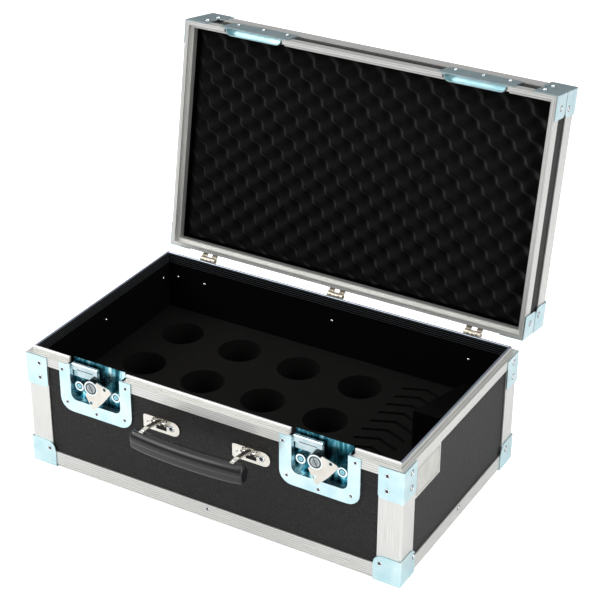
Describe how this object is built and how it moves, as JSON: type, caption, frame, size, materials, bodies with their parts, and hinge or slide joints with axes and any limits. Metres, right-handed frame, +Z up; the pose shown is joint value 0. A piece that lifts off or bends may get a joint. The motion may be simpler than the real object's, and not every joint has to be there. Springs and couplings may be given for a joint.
{
  "type": "lighting tour case",
  "caption": "Flight case with hinged lid, recessed butterfly latches, carry handle, steel corners, cut foam insert and egg-crate lid foam",
  "frame": {"origin": "on the floor, under the middle of the overall outline with the lid open", "axes": "+X to the right along the case's length, -Y out of the front with latches and handle, +Z up"},
  "size_m": [0.56, 0.5238, 0.5063],
  "materials": {
    "laminate": "black leather-grained laminate on plywood",
    "compartment_board": "thin board with black grained covering",
    "aluminium": "ribbed natural anodised extrusion",
    "zinc": "bright blue zinc plated pressed steel",
    "nickel": "nickel plated steel",
    "brass": "brass plated hinge steel",
    "label": "bare silver label plate",
    "grip": "black moulded grip",
    "foam": "black polyethylene foam",
    "egg_crate_foam": "black convoluted polyurethane foam"
  },
  "bodies": {
    "case": {"base_floor_panel": "laminate", "base_front_panel": "laminate", "base_back_panel": "laminate", "base_left_panel": "laminate", "base_right_panel": "laminate", "base_bottom_edge_frame": "aluminium", "base_corner_angle_front_left": "aluminium", "base_corner_angle_front_right": "aluminium", "base_corner_angle_back_left": "aluminium", "base_corner_angle_back_right": "aluminium", "base_rim_front_left": "aluminium", "base_rim_front_middle": "aluminium", "base_rim_front_right": "aluminium", "base_rim_sides_and_back": "aluminium", "base_foot_corner_front_left": "zinc", "base_foot_corner_front_right": "zinc", "base_foot_corner_back_left": "zinc", "base_foot_corner_back_right": "zinc", "base_rim_brace_front_left": "zinc", "base_rim_brace_front_right": "zinc", "base_rim_brace_back_left": "zinc", "base_rim_brace_back_right": "zinc", "label_plate": "label", "latch_dish_left": "zinc", "latch_dish_right": "zinc", "handle_plate_left": "nickel", "handle_plate_right": "nickel", "foam_insert": "foam", "compartment_front": "compartment_board", "compartment_side": "compartment_board", "hinge_base_leaf_left": "brass", "hinge_base_leaf_middle": "brass", "hinge_base_leaf_right": "brass"},
    "lid": {"lid_panel": "laminate", "lid_walls": "laminate", "lid_rim": "aluminium", "lid_edge_frame": "aluminium", "lid_foam": "egg_crate_foam", "keeper_left": "zinc", "keeper_right": "zinc", "lid_corner_front_left": "zinc", "lid_corner_front_right": "zinc", "lid_corner_back_left": "zinc", "lid_corner_back_right": "zinc", "lid_rim_brace_front_left": "zinc", "lid_rim_brace_front_right": "zinc", "lid_rim_brace_back_left": "zinc", "lid_rim_brace_back_right": "zinc", "hinge_lid_leaf_left": "brass", "hinge_lid_leaf_middle": "brass", "hinge_lid_leaf_right": "brass"},
    "handle": {"handle_band": "nickel", "handle_grip": "grip"},
    "compartment_cover": {"compartment_lid": "compartment_board"},
    "left_spindle": {"latch_spindle_left": "zinc"},
    "left_wing": {"latch_wing_left": "nickel"},
    "left_hook": {"latch_hook_left": "zinc"},
    "right_spindle": {"latch_spindle_right": "zinc"},
    "right_wing": {"latch_wing_right": "nickel"},
    "right_hook": {"latch_hook_right": "zinc"}
  },
  "joints": [
    {"name": "lid_hinge", "type": "hinge", "parent": "case", "child": "lid", "pos_m": [0, 0.13312, 0.1703], "axis": [1, 0, 0], "range_deg": [0, 99.8]},
    {"name": "handle_pivot", "type": "hinge", "parent": "case", "child": "handle", "pos_m": [0, -0.21038, 0.1293], "axis": [1, 0, 0], "range_deg": [-75, 60]},
    {"name": "compartment_hinge", "type": "hinge", "parent": "case", "child": "compartment_cover", "pos_m": [0, 0.11033, 0.10119], "axis": [1, 0, 0], "range_deg": [-70, 0]},
    {"name": "left_latch_turn", "type": "hinge", "parent": "case", "child": "left_spindle", "pos_m": [-0.1731, -0.20788, 0.1465], "axis": [0, -1, 0], "range_deg": [0, 180]},
    {"name": "left_wing_fold", "type": "hinge", "parent": "left_spindle", "child": "left_wing", "pos_m": [-0.1731, -0.20968, 0.1465], "axis": [-0.6428, 0, -0.766], "range_deg": [0, 95]},
    {"name": "left_hook_lift", "type": "slide", "parent": "case", "child": "left_hook", "axis": [0, 0, 1], "range_m": [0, 0.008]},
    {"name": "right_latch_turn", "type": "hinge", "parent": "case", "child": "right_spindle", "pos_m": [0.1605, -0.20788, 0.1465], "axis": [0, -1, 0], "range_deg": [0, 180]},
    {"name": "right_wing_fold", "type": "hinge", "parent": "right_spindle", "child": "right_wing", "pos_m": [0.1605, -0.20968, 0.1465], "axis": [-0.6428, 0, -0.766], "range_deg": [0, 95]},
    {"name": "right_hook_lift", "type": "slide", "parent": "case", "child": "right_hook", "axis": [0, 0, 1], "range_m": [0, 0.008]}
  ],
  "couplings": [
    {"joint": "left_hook_lift", "follows": "left_latch_turn", "m_per_rad": 0.002546},
    {"joint": "right_hook_lift", "follows": "right_latch_turn", "m_per_rad": 0.002546}
  ]
}
